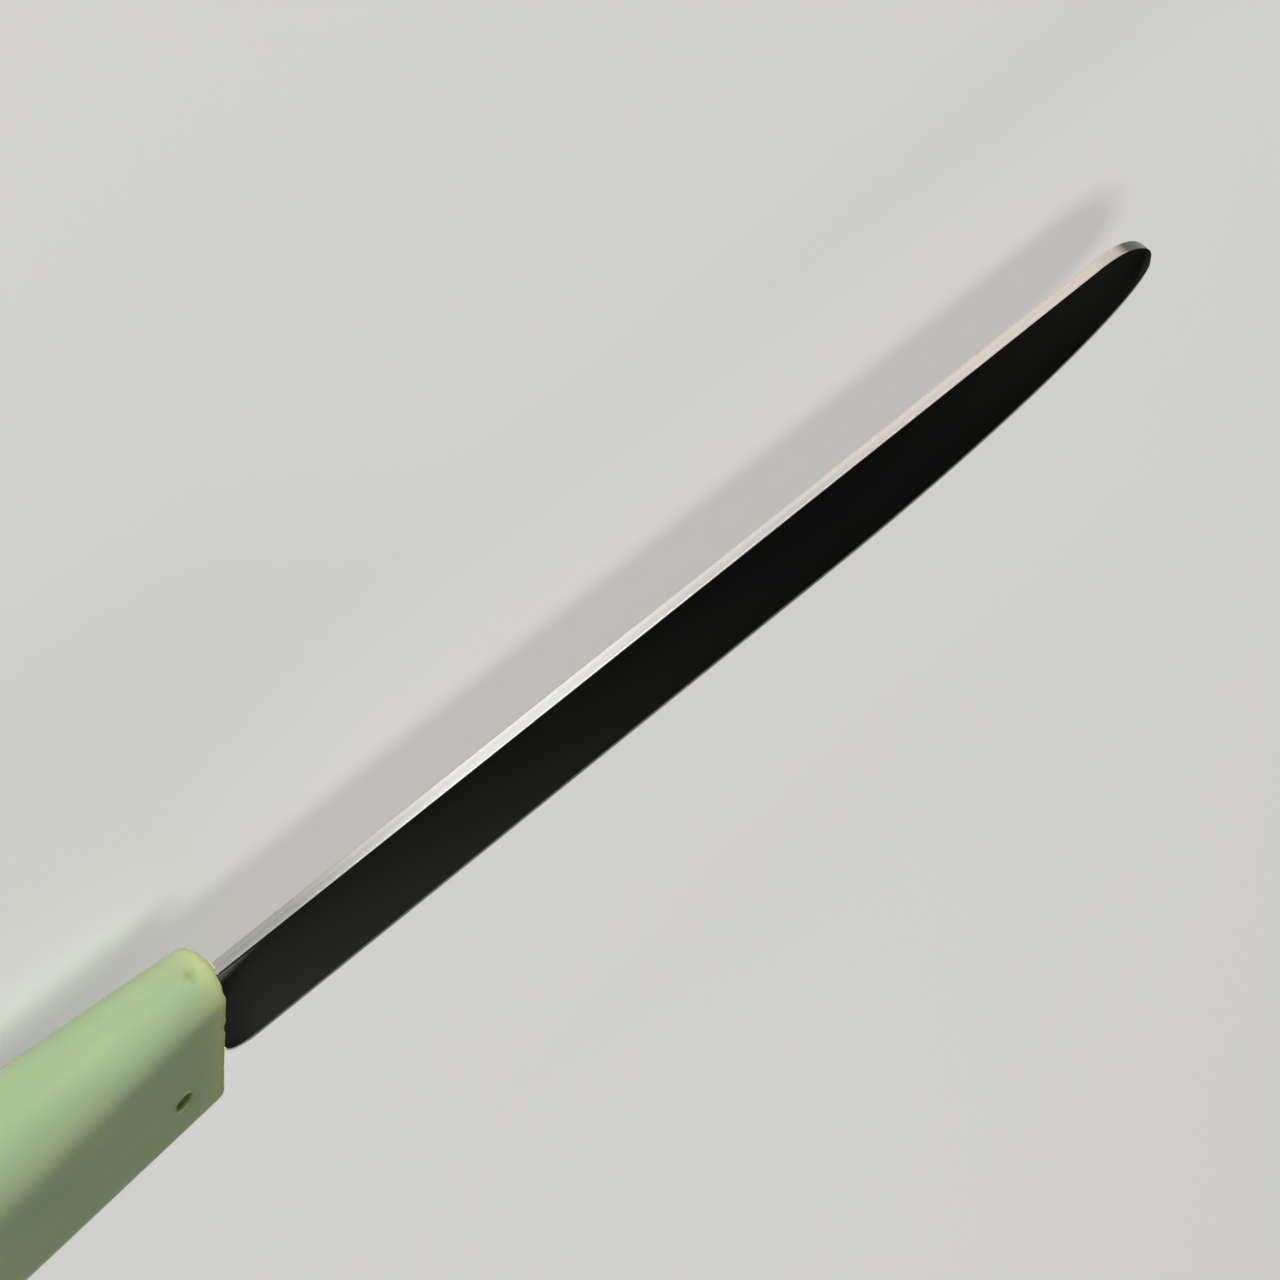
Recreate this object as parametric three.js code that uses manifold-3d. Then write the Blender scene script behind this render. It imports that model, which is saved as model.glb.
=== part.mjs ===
// Table knife, lying on its side. Millimetres: +X to the tip, +Y to the spine, +Z up.
import * as THREE from 'three';
import { mergeVertices } from 'three/addons/utils/BufferGeometryUtils.js';
import Module from 'manifold-3d';

// Blade outline: lengths from the handle's front face, drops and rises from the spine
const BLADE_LENGTH = 125.35;
const BLADE_HEIGHT = 16.95;
const BELLY_RISE = 0.35;
const BELLY_LENGTH = 43.5;
const BELLY_POWER = 1.88;
const TIP_DROP = 7.4;
const TIP_ROUND = 8.4;
const TIP_END_ANGLE = 86;
const HEEL_LENGTH = 5;
const HEEL_RISE = 3.95;
const NECK_FRONT = 2;
const NECK_DEPTH = 2.5;
const SPINE_RISE = 7.15;

// Blade section: flat back, two tapered sides, a small bevel at the edge
const BLADE_THICKNESS = 1.22;
const SPINE_CHAMFER = 0.1;
const EDGE_THICKNESS = 0.3;
const EDGE_BEVEL = 0.7;
const EDGE_FLAT = 0.06;
const TIP_THINNING = 2.5;
const ROOT_FLAT = 2.65;
const ROOT_FLAT_LENGTH = 7;

// Tang, one piece with the blade and hidden in the handle
const TANG_LENGTH = 60;
const TANG_ROOT = 9;
const TANG_END = 6;
const TANG_DROP = 0.9;
const TANG_RELIEF = 0.05;
const TANG_LAP = 1;
const NOTCH_RADIUS = 1.1;
const NOTCH_PLACES = [0.4, 0.75];

// Handle: an oblong section that swells from the front, then runs level to the butt.
// Flares, corner, stretch and the butt's side are shares, the others lengths.
const HANDLE_LENGTH = 98;
const FRONT_THICKNESS = 6.9;
const FRONT_HEIGHT = 21.4;
const SIDE_FLARE = 0.087;
const TOP_FLARE = 0.048;
const FLARE_STRAIGHT = 22;
const FLARE_EASE = 28;
const CORNER_ROUND = 0.94;
const CORNER_STRETCH = 1.15;
const FRONT_RADIUS = 0.5;
const FRONT_CROWN = 0.35;
const BUTT_LENGTH = 7;
const BUTT_SIDE = 0.73;
const BUTT_TOP = 7;

// Cement bed round the neck and the tang
const FIT = 0.2;
const CEMENT_SIDE = 0.5;
const CEMENT_EDGE = 0.9;
const CEMENT_END = 2;
const CEMENT_BEAD = 0.5;

// Pin across the handle, its ends sunk below the sides
const PIN_DIAMETER = 2;
const PIN_FIT = 0.12;
const PIN_SETBACK = 6.2;
const PIN_DROP = 2.7;
const PIN_SINK = 0.5;
const PIN_CHAMFER = 0.2;

// Fineness of the curves
const CORNER_STEPS = 11;
const BUTT_STEPS = 9;
const RIM_STEPS = 4;
const FLARE_STEPS = 12;
const HEEL_STEPS = 8;
const STRAIGHT_STEPS = 4;
const BELLY_STEPS = 14;
const TIP_STEPS = 12;
const PIN_STEPS = 32;

// Sizes that follow from the ones above
const heelEnd = NECK_FRONT + HEEL_LENGTH;
const bellyStart = BLADE_LENGTH - BELLY_LENGTH;
const tipStart = BLADE_LENGTH - TIP_ROUND;
const bellyHeight = BLADE_HEIGHT - BELLY_RISE;
const neckHeight = BLADE_HEIGHT - HEEL_RISE;
const tangThickness = BLADE_THICKNESS - 2 * TANG_RELIEF;
const flareEnd = FLARE_STRAIGHT + FLARE_EASE;
const sideRoom = FIT + CEMENT_SIDE + FIT;
const edgeRoom = FIT + CEMENT_EDGE + FIT;
const endRoom = FIT + CEMENT_END + FIT;

const wasm = await Module();
wasm.setup();

const { lerp, clamp, smoothstep, degToRad } = THREE.MathUtils;

// Even steps from 0 to 1, both ends kept
function steps(count) {
  return Array.from({ length: count + 1 }, (_, i) => i / count);
}

// Closed skin through rings of points, taken in order of x, with a fan over each end
function loft(rings) {
  const count = rings[0].length;
  const points = rings.flat();
  const faces = [];
  for (let r = 0; r + 1 < rings.length; r += 1) {
    for (let i = 0; i < count; i += 1) {
      const a = r * count + i;
      const b = r * count + ((i + 1) % count);
      faces.push(a, b, b + count, a, b + count, a + count);
    }
  }
  for (const ring of [0, rings.length - 1]) {
    const centre = new THREE.Vector3();
    rings[ring].forEach((point) => centre.addScaledVector(point, 1 / count));
    const hub = points.push(centre) - 1;
    for (let i = 0; i < count; i += 1) {
      const a = ring * count + i;
      const b = ring * count + ((i + 1) % count);
      faces.push(hub, ring ? a : b, ring ? b : a);
    }
  }
  const geometry = new THREE.BufferGeometry().setFromPoints(points);
  geometry.setIndex(faces);
  return geometry;
}

// Closed geometry to a solid that can be cut and joined
function solid(geometry) {
  geometry.deleteAttribute('normal');
  geometry.deleteAttribute('uv');
  const welded = mergeVertices(geometry, 1e-5);
  return new wasm.Manifold(new wasm.Mesh({
    numProp: 3,
    vertProperties: new Float32Array(welded.attributes.position.array),
    triVerts: new Uint32Array(welded.index.array),
  }));
}

// Solid back to geometry, as a named mesh
function piece(name, body, material) {
  const mesh = body.getMesh();
  const geometry = new THREE.BufferGeometry();
  geometry.setAttribute('position', new THREE.BufferAttribute(new Float32Array(mesh.vertProperties), 3));
  geometry.setIndex(new THREE.BufferAttribute(new Uint32Array(mesh.triVerts), 1));
  geometry.computeVertexNormals();
  const result = new THREE.Mesh(geometry, material);
  result.name = name;
  return result;
}

// Plate in the blade's plane, from back to front, with a height at each end
function plate(back, front, middle, backHeight, frontHeight, thickness) {
  const outline = new THREE.Shape();
  outline.moveTo(back, middle - backHeight / 2);
  outline.lineTo(front, middle - frontHeight / 2);
  outline.lineTo(front, middle + frontHeight / 2);
  outline.lineTo(back, middle + backHeight / 2);
  const geometry = new THREE.ExtrudeGeometry(outline, { depth: thickness, bevelEnabled: false });
  return solid(geometry.translate(0, 0, -thickness / 2));
}

// Round bar across the knife, with chamfered ends
function crossBar(x, y, radius, length) {
  const half = length / 2;
  const chamfer = Math.min(PIN_CHAMFER, radius / 3);
  const profile = [
    new THREE.Vector2(0, -half),
    new THREE.Vector2(radius - chamfer, -half),
    new THREE.Vector2(radius, chamfer - half),
    new THREE.Vector2(radius, half - chamfer),
    new THREE.Vector2(radius - chamfer, half),
    new THREE.Vector2(0, half),
  ];
  return solid(new THREE.LatheGeometry(profile, PIN_STEPS).rotateX(Math.PI / 2).translate(x, y, 0));
}

// Half sizes of the handle at a distance behind its front face
function flareAt(distance) {
  const eased = clamp(distance - FLARE_STRAIGHT, 0, FLARE_EASE);
  return Math.min(distance, FLARE_STRAIGHT) + eased - eased ** 2 / (2 * FLARE_EASE);
}

function halfThickness(distance) {
  return FRONT_THICKNESS / 2 + SIDE_FLARE * flareAt(distance);
}

function halfHeight(distance) {
  return FRONT_HEIGHT / 2 + TOP_FLARE * flareAt(distance);
}

// One oblong ring of the handle, drawn in from its sides and from its top and bottom
function handleRing(distance, fromSide, fromTop) {
  const full = halfThickness(distance);
  const thick = full - fromSide;
  const tall = halfHeight(distance) - fromTop;
  const corner = CORNER_ROUND * thick;
  const cornerTall = Math.min(CORNER_STRETCH * corner, 0.9 * tall);
  const crown = FRONT_CROWN * (1 - smoothstep(distance, 0, FLARE_STRAIGHT));
  const ring = [];
  for (const [quarter, up, side] of [[0, 1, 1], [1, -1, 1], [2, -1, -1], [3, 1, -1]]) {
    for (const step of steps(CORNER_STEPS)) {
      const angle = (quarter + step) * Math.PI / 2;
      const y = up * (tall - cornerTall) + cornerTall * Math.cos(angle);
      const z = side * (thick - corner) + corner * Math.sin(angle);
      ring.push(new THREE.Vector3(-distance - crown * (z / full) ** 2, y, z));
    }
  }
  return ring;
}

// Handle body, from the rounded butt to the crowned front
function handleBody() {
  const level = HANDLE_LENGTH - BUTT_LENGTH;
  const buttSide = BUTT_SIDE * halfThickness(flareEnd);
  const butt = steps(BUTT_STEPS).map((step) => {
    const angle = step * Math.PI / 2;
    const drawn = 1 - Math.sin(angle);
    return handleRing(level + BUTT_LENGTH * Math.cos(angle), buttSide * drawn, BUTT_TOP * drawn);
  });
  const places = steps(FLARE_STEPS).map((step) => flareEnd * (1 - step));
  const grip = places.filter((place) => place < level - FIT && place > FRONT_RADIUS + FIT);
  const rim = steps(RIM_STEPS).map((step) => {
    const angle = step * Math.PI / 2;
    const drawn = FRONT_RADIUS * (1 - Math.cos(angle));
    return handleRing(FRONT_RADIUS * (1 - Math.sin(angle)), drawn, drawn);
  });
  const face = [0.4, 0.8].map((part) => {
    const drawn = lerp(FRONT_RADIUS, FRONT_THICKNESS / 2, part);
    return handleRing(0, drawn, drawn);
  });
  return solid(loft([...butt, ...grip.map((place) => handleRing(place, 0, 0)), ...rim, ...face]));
}

// Depth of the blade's back and of its edge below the spine line
function backDepth(x) {
  const along = clamp((x - tipStart) / TIP_ROUND, 0, 1);
  return TIP_DROP * (1 - Math.sqrt(1 - along ** 2));
}

function edgeDepth(x) {
  if (x < heelEnd) {
    const along = clamp((heelEnd - x) / HEEL_LENGTH, 0, 1);
    return neckHeight + HEEL_RISE * Math.sqrt(1 - along ** 2);
  }
  if (x < bellyStart) {
    return lerp(BLADE_HEIGHT, bellyHeight, (x - heelEnd) / (bellyStart - heelEnd));
  }
  const along = clamp((x - bellyStart) / BELLY_LENGTH, 0, 1);
  return TIP_DROP + (bellyHeight - TIP_DROP) * (1 - along ** BELLY_POWER) ** (1 / BELLY_POWER);
}

// One section of the blade: back, flat by the root, tapered side, edge bevel
function bladeRing(x) {
  const back = SPINE_RISE - backDepth(x);
  const edge = SPINE_RISE - edgeDepth(x);
  const height = back - edge;
  const ground = smoothstep(x, 0, heelEnd);
  const thinned = clamp(1 - (BLADE_LENGTH - x) / TIP_THINNING, 0, 0.99);
  const thick = BLADE_THICKNESS * Math.sqrt(1 - thinned ** 2);
  const chamfer = Math.min(SPINE_CHAMFER, 0.2 * thick, 0.1 * height);
  const flat = Math.max(ROOT_FLAT * (1 - x / ROOT_FLAT_LENGTH), 0) + 1.5 * chamfer;
  const bevel = Math.min(lerp(chamfer, EDGE_BEVEL, ground), 0.3 * height);
  const thin = lerp(thick, Math.min(EDGE_THICKNESS, 0.7 * thick), ground);
  const blunt = lerp(thick - 2 * chamfer, Math.min(EDGE_FLAT, 0.5 * thin), ground);
  const side = [
    [back, thick / 2 - chamfer],
    [back - chamfer, thick / 2],
    [back - Math.min(flat, 0.5 * height), thick / 2],
    [edge + bevel, thin / 2],
    [edge, blunt / 2],
  ];
  const right = side.map(([y, z]) => new THREE.Vector3(x, y, z));
  const left = side.map(([y, z]) => new THREE.Vector3(x, y, -z)).reverse();
  return [...right, ...left];
}

// Blade in front of the tang, from the neck's sunk end to the tip
function bladeBody() {
  const heel = steps(HEEL_STEPS).map((step) => heelEnd - HEEL_LENGTH * Math.cos(step * Math.PI / 2));
  const straight = steps(STRAIGHT_STEPS).map((step) => lerp(heelEnd, bellyStart, step));
  const belly = steps(BELLY_STEPS).map((step) => lerp(bellyStart, tipStart, step));
  const tip = steps(TIP_STEPS).map((step) => tipStart + TIP_ROUND * Math.sin(degToRad(TIP_END_ANGLE * step)));
  const places = [-NECK_DEPTH, 0, ...heel, ...straight.slice(1), ...belly.slice(1), ...tip.slice(1)];
  return solid(loft(places.map(bladeRing)));
}

// Tang with keying notches, and the neck's block, each grown by a clearance
function tangBody(grow) {
  const front = TANG_LAP - NECK_DEPTH;
  const back = -NECK_DEPTH - TANG_LENGTH;
  const heights = [TANG_END, TANG_ROOT].map((height) => height + 2 * grow);
  let tang = plate(back - grow, front, -TANG_DROP, ...heights, tangThickness + 2 * grow);
  for (const place of NOTCH_PLACES) {
    const reach = lerp(TANG_ROOT, TANG_END, place) / 2 + 0.3 * NOTCH_RADIUS;
    for (const way of [-1, 1]) {
      const y = way * reach - TANG_DROP;
      tang = tang.subtract(crossBar(lerp(front, back, place), y, NOTCH_RADIUS - grow, 4 * BLADE_THICKNESS));
    }
  }
  return tang;
}

function neckBlock(grow, front) {
  const middle = SPINE_RISE - neckHeight / 2;
  const height = neckHeight + 2 * grow;
  return plate(-NECK_DEPTH - grow, front, middle, height, height, BLADE_THICKNESS + 2 * grow);
}

// Socket in the handle, or the cement that fills it when drawn in by a clearance
function socketBody(gap, front) {
  const middle = SPINE_RISE - neckHeight / 2;
  const mouthHeight = neckHeight + 2 * (edgeRoom - gap);
  const thickness = BLADE_THICKNESS + 2 * (sideRoom - gap);
  const mouth = plate(gap - NECK_DEPTH - edgeRoom, front, middle, mouthHeight, mouthHeight, thickness);
  const back = gap - NECK_DEPTH - TANG_LENGTH - endRoom;
  const heights = [TANG_END, TANG_ROOT].map((height) => height + 2 * (edgeRoom - gap));
  return mouth.add(plate(back, -NECK_DEPTH, -TANG_DROP, ...heights, thickness));
}

// Bead of cement squeezed out above the spine
function beadBody() {
  const ball = new THREE.SphereGeometry(1, 20, 12);
  ball.scale(FIT + CEMENT_BEAD, CEMENT_EDGE / 2, BLADE_THICKNESS / 2 + CEMENT_SIDE);
  return solid(ball.translate(-FIT, SPINE_RISE + FIT + CEMENT_EDGE / 2, 0));
}

const pinAt = [-PIN_SETBACK, -PIN_DROP];
const pinLength = 2 * (halfThickness(PIN_SETBACK) - PIN_SINK);
const pinHole = crossBar(...pinAt, PIN_DIAMETER / 2 + PIN_FIT, 4 * halfThickness(flareEnd));

const blade = bladeBody().add(tangBody(0)).subtract(pinHole);
const handle = handleBody().subtract(socketBody(0, HANDLE_LENGTH)).subtract(pinHole);
const bed = socketBody(FIT, -FIT).add(beadBody()).subtract(neckBlock(FIT, HANDLE_LENGTH));
const cement = bed.subtract(tangBody(FIT)).subtract(pinHole);
const pin = crossBar(...pinAt, PIN_DIAMETER / 2, pinLength);

const steel = new THREE.MeshStandardMaterial({ color: 0xc9c8c4, roughness: 0.22, metalness: 1 });
const wire = new THREE.MeshStandardMaterial({ color: 0x9c9890, roughness: 0.45, metalness: 1 });
const plastic = new THREE.MeshStandardMaterial({ color: 0xaac392, roughness: 0.42, metalness: 0 });
const filler = new THREE.MeshStandardMaterial({ color: 0xd8cda2, roughness: 0.9, metalness: 0 });

const knife = new THREE.Group();
knife.name = 'table_knife';
knife.add(piece('blade', blade, steel));
knife.add(piece('handle', handle, plastic));
knife.add(piece('tang_cement', cement, filler));
knife.add(piece('tang_pin', pin, wire));

// The origin is the middle of the footprint, at the side that the handle lies on
knife.position.set((HANDLE_LENGTH - BLADE_LENGTH) / 2, 0, halfThickness(flareEnd));

export default knife;
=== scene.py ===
"""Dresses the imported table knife: finer skins for its pieces, their finishes, and a pale studio floor."""

import math
import random

import bmesh
import bpy
from bpy.props import FloatProperty, FloatVectorProperty, PointerProperty
from mathutils import Matrix, Vector, noise


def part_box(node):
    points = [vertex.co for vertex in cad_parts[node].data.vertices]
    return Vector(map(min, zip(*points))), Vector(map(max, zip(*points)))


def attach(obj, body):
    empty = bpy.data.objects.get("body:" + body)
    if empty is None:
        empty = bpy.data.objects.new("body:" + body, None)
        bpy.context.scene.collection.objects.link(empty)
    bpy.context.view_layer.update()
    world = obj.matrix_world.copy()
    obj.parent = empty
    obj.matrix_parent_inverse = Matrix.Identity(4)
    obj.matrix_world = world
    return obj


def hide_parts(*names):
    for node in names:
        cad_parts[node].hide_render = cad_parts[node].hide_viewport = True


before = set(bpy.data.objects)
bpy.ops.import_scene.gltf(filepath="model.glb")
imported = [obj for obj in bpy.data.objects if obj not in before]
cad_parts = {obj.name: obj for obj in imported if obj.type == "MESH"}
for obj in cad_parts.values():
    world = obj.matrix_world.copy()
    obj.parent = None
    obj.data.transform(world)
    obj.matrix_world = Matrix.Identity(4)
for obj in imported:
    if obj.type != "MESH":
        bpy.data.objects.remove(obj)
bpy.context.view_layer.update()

bl_info = {
    "name": "Table knife",
    "version": (1, 0, 0),
    "blender": (4, 5, 0),
    "location": "3D View > Sidebar > Knife",
    "description": "Dresses a packed table knife and sets it on a pale studio floor",
    "category": "Object",
}

MM = 0.001
BLADE_LOW, BLADE_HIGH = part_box("blade")
HANDLE_LOW, HANDLE_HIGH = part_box("handle")
PIN_LOW, PIN_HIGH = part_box("tang_pin")
PIN_X, PIN_Y = (PIN_LOW.x + PIN_HIGH.x) / 2, (PIN_LOW.y + PIN_HIGH.y) / 2
PIN_RADIUS = (PIN_HIGH.x - PIN_LOW.x) / 2

# Lengths run from the handle's front face towards the tip, heights from the handle's axis,
# and widths from the middle plane
FRONT = HANDLE_HIGH.x
MIDDLE = (HANDLE_LOW.z + HANDLE_HIGH.z) / 2

# How far cutters reach, so that they pass through whatever they cut
REACH = 9 * MM


def linear(code):
    """Linear colour of an sRGB hex code."""
    parts = [int(code[i:i + 2], 16) / 255 for i in (1, 3, 5)]
    return tuple(c / 12.92 if c <= 0.04045 else ((c + 0.055) / 1.055) ** 2.4 for c in parts)


def length(name, description, size):
    """A length that a user may change, given in millimetres."""
    return FloatProperty(
        name=name, description=description, default=size * MM, min=0, unit="LENGTH", precision=5
    )


def amount(name, description, value, **limits):
    """A plain number that a user may change."""
    return FloatProperty(name=name, description=description, default=value, **limits)


def colour(name, description, code):
    """A colour that a user may change, given as sRGB hex."""
    return FloatVectorProperty(
        name=name, description=description, default=linear(code), size=3, min=0, max=1, subtype="COLOR"
    )


class BladeSettings(bpy.types.PropertyGroup):
    """Sizes and colours of the blade and its tang"""

    length: length("Length", "From the handle's front face to the tip", (BLADE_HIGH.x - FRONT) / MM)
    spine: length("Spine height", "Height of the back above the handle's axis", BLADE_HIGH.y / MM)
    height: length("Height", "From the back to the edge by the heel", (BLADE_HIGH.y - BLADE_LOW.y) / MM)
    thickness: length("Thickness", "Across the back", (BLADE_HIGH.z - BLADE_LOW.z) / MM)
    back_round: length("Back round", "Radius along both edges of the back", 0.1)
    belly_rise: length("Belly rise", "Loss of height up to the belly", 0.35)
    belly_length: length("Belly length", "Curved part of the edge before the tip", 43.5)
    belly_power: amount("Belly fullness", "Roundness of the belly", 1.88, min=1)
    tip_drop: length("Tip drop", "Foremost point below the back", 7.4)
    tip_round: length("Tip round", "Length over which the back falls to the tip", 8.4)
    tip_thinning: length("Tip thinning", "Length over which the tip thins", 2.5)
    neck: length("Neck", "Straight neck in front of the handle", 2)
    neck_sunk: length("Sunk neck", "Part of the neck inside the handle", 2.5)
    heel: length("Heel", "Length of the rounded heel", 5)
    heel_rise: length("Heel rise", "Drop from the neck to the edge", 3.95)
    grind_run: length("Grind run", "Length over which the taper grind begins, from the sunk neck on", 10)
    root_flat: length("Root flat", "Depth of the unground facet at the handle", 2.15)
    root_length: length("Root flat length", "Length over which that facet runs out", 7.2)
    buffed_line: length("Buffed line", "Height that the buff caught between the back and that facet", 0.3)
    edge_thickness: length("Edge thickness", "Behind the edge bevel", 0.3)
    edge_bevel: length("Edge bevel", "Height of the edge bevel", 0.7)
    edge_flat: length("Edge flat", "Width of the blunt edge itself", 0.06)
    side_crown: length("Side crown", "Convexity that buffing leaves on each side", 0.05)
    tang_length: length("Tang length", "Behind the sunk neck", 60)
    tang_root: length("Tang root", "Height of the tang at the neck", 9)
    tang_end: length("Tang end", "Height of the tang at its end", 6)
    tang_drop: length("Tang drop", "Tang's middle below the handle's axis", 0.9)
    tang_share: amount("Tang share", "Thickness of the tang to that of the neck", 0.92)
    notch: length("Notch", "Radius of the keying notches in the tang", 1.1)
    steel: colour("Steel", "Polished steel", "#CFCDC8")
    back_steel: colour("Back", "Brushed back", "#F2F1EE")
    # Painted shade at half length, a warm painted highlight further on, and painted shade by the handle and
    # round the tip
    back_middle_shade: colour("Back at half length", "Painted shade on the back at half length", "#E2DFD9")
    back_far_highlight: colour("Back further on", "Warm painted highlight on the back further on", "#F9EEE5")
    back_root_shade: colour("Back by the handle", "Painted shade on the back by the handle", "#B3B2AF")
    back_tip_shade_and_streaks: colour("Back round the tip", "Painted shade on the back round the tip, also the colour of its deeper strokes", "#72736A")
    root_steel: colour("Root", "Steel left from the press", "#DAD5CC")


class HandleSettings(bpy.types.PropertyGroup):
    """Sizes and colours of the handle"""

    length: length("Length", "From the front face to the butt", (HANDLE_HIGH.x - HANDLE_LOW.x) / MM)
    front_thickness: length("Front thickness", "Across the front end", 6.9)
    front_height: length("Front height", "Height of the front end", 21.4)
    side_flare: amount("Side flare", "Growth of each side with length", 0.087)
    top_flare: amount("Top flare", "Growth of top and bottom with length", 0.048)
    flare_straight: length("Straight flare", "Length that swells evenly", 22)
    flare_ease: length("Eased flare", "Length over which the swelling ends", 28)
    corner: amount("Corner", "Corner radius as a share of half the thickness", 0.94)
    stretch: amount("Corner stretch", "Corner height to its width", 1.15)
    rim: length("Front rim", "Radius round the front end", 0.5)
    crown: length("Front crown", "Fall of the front face towards its sides", 0.35)
    butt_length: length("Butt length", "Length of the rounding at the butt", 7)
    butt_side: amount("Butt side", "Rounding at the butt as a share of the side", 0.73)
    butt_top: length("Butt top", "Rounding of top and bottom at the butt", 7)
    nick: length("Nick depth", "Deepest nick in the front rim", 0.6)
    dent: length("Dent depth", "Small dent on top behind the front rim", 0.08)
    plastic: colour("Plastic", "Pale green plastic", "#A6C094")
    cloud: colour("Clouding", "Paler clouds in the plastic", "#B1C398")
    yellower_front: colour("Yellower end", "Paler, yellower plastic by the blade", "#C3CC95")
    # Olive shade painted on the front rim
    rim_shade: colour("Painted rim shade", "Olive shade painted on the front rim", "#858E4C")
    # Grime, and painted shade in the pin's hole
    grime_and_hole_shade: colour("Grime", "Dirt in scratches, and painted shade in hollows", "#5E6650")


class CementSettings(bpy.types.PropertyGroup):
    """Sizes and colours of the cement and the pin"""

    side: length("Side room", "Room beside the tang", 0.9)
    edge: length("Edge room", "Room above and below the tang", 1.3)
    end: length("End room", "Room behind the tang", 2.4)
    end_fill: length("End fill", "Cement behind the tang", 2)
    sunk: length("Sunk", "Front of the cement inside the mouth", 0.12)
    gap: length("Joint", "Gap left at the walls", 0.01)
    crumb: length("Crumb", "Largest crumb by the back", 0.26)
    pin_fit: length("Pin fit", "Gap round the pin in its hole", 0.12)
    cement: colour("Cement", "Set cement", "#E2DAB6")
    stain: colour("Stain", "Darker grains", "#C9BB92")
    pin: colour("Pin", "Dull pin", "#8E897F")
    pin_pits: colour("Pin pits", "Brown in the pin's pits", "#3A3229")


class StageSettings(bpy.types.PropertyGroup):
    """Light and floor of the studio"""

    floor: colour("Floor", "Pale paper floor", "#F1F0ED")
    glow: amount("Floor glow", "Even brightness of the floor where it is seen", 0.36)
    key: amount("Key", "Long soft panel on the back's side", 8.2, unit="POWER")
    strip: amount("Strip", "Narrow panel that lights up the back", 0.9, unit="POWER")
    fill: amount("Fill", "Soft panel on the edge's side", 5.0, unit="POWER")
    top: amount("Top", "Soft panel overhead", 2.0, unit="POWER")
    dome: amount("Dome", "Even light from all round", 0.11)


def clamp(value, low=0.0, high=1.0):
    """Value kept between low and high."""
    return min(max(value, low), high)


def lerp(a, b, share):
    """Value that lies a share of the way from a to b."""
    return a + (b - a) * share


def ease(share):
    """Smooth step whose slope and curve start and end at nothing."""
    share = clamp(share)
    return share**3 * (share * (6 * share - 15) + 10)


def span(low, high, count):
    """Even values from low to high, both kept."""
    return [lerp(low, high, i / count) for i in range(count + 1)]


def pattern(*sizes):
    """Scale of a pattern whose marks have these sizes in millimetres."""
    return tuple(1 / (size * MM) for size in sizes)


def add_object(name, shell):
    """Puts a finished shell into the scene."""
    mesh = bpy.data.meshes.new(name)
    shell.to_mesh(mesh)
    shell.free()
    piece = bpy.data.objects.new(name, mesh)
    bpy.context.scene.collection.objects.link(piece)
    return piece


def skin(name, rings, zone=None, sharp=None):
    """Closed mesh through rings of points.

    zone gives a strip's material, sharp the places in a ring that stay crisp.
    """
    shell = bmesh.new()
    rows = [[shell.verts.new((FRONT + x, y, MIDDLE + z)) for x, y, z in ring] for ring in rings]
    count = len(rows[0])
    for r in range(len(rows) - 1):
        for i in range(count):
            j = (i + 1) % count
            face = shell.faces.new((rows[r][i], rows[r + 1][i], rows[r + 1][j], rows[r][j]))
            face.smooth = True
            face.material_index = zone(r, i) if zone else 0
    shell.faces.new(rows[0])
    shell.faces.new(reversed(rows[-1]))
    for i in sharp or ():
        for a, b in zip(rows, rows[1:]):
            shell.edges.get((a[i], b[i])).smooth = False
    bmesh.ops.recalc_face_normals(shell, faces=shell.faces)
    return add_object(name, shell)


def block(name, low, high, back_height=None):
    """Closed box between two corners, tapered to another height at its back."""
    middle, half = (low[1] + high[1]) / 2, (high[1] - low[1]) / 2
    back = (back_height or 2 * half) / 2
    rings = [
        [(x, middle + h * a, z) for a, z in ((1, high[2]), (-1, high[2]), (-1, low[2]), (1, low[2]))]
        for x, h in ((low[0], back), (high[0], half))
    ]
    return skin(name, rings)


def bar(name, x, y, radius):
    """Round cutter right across the knife."""
    shell = bmesh.new()
    place = Matrix.Translation((FRONT + x, y, MIDDLE))
    bmesh.ops.create_cone(
        shell, cap_ends=True, segments=64, radius1=radius, radius2=radius, depth=2 * REACH, matrix=place
    )
    return add_object(name, shell)


def cut(piece, cutter):
    """Takes a closed cutter out of a piece, and the cutter out of the scene."""
    step = piece.modifiers.new("cut", "BOOLEAN")
    step.operation = "DIFFERENCE"
    step.solver = "EXACT"
    step.object = cutter
    result = bpy.data.meshes.new_from_object(piece.evaluated_get(bpy.context.evaluated_depsgraph_get()))
    piece.modifiers.remove(step)
    result.name = piece.name
    piece.data = result
    bpy.data.objects.remove(cutter)


def dress(piece, node, slot, *materials):
    """The piece stands for a solid of the frame, in these materials."""
    for material in materials:
        piece.data.materials.append(material)
    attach(piece, "root")
    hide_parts(node)


def add_node(tree, kind, inputs=None, **settings):
    """One node with its settings. An input takes a value or another node's output."""
    node = tree.nodes.new(kind)
    for name, value in settings.items():
        setattr(node, name, value)
    for name, value in (inputs or {}).items():
        if isinstance(value, bpy.types.NodeSocket):
            tree.links.new(value, node.inputs[name])
        else:
            node.inputs[name].default_value = value
    return node


def start_material(name, **inputs):
    """A new material with its shader, whose even values are set on the shader itself."""
    material = bpy.data.materials.new(name)
    material.use_nodes = True
    tree = material.node_tree
    tree.nodes.clear()
    shader = add_node(tree, "ShaderNodeBsdfPrincipled", inputs)
    add_node(tree, "ShaderNodeOutputMaterial", {"Surface": shader.outputs[0]})
    return material, tree, shader


def opaque(value):
    """Colour that covers fully."""
    return (*value, 1.0)


def blade_back(s, x):
    """Depth of the back below the spine line."""
    along = clamp((x - s.length + s.tip_round) / s.tip_round)
    return s.tip_drop * (1 - math.sqrt(1 - along**2))


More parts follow.
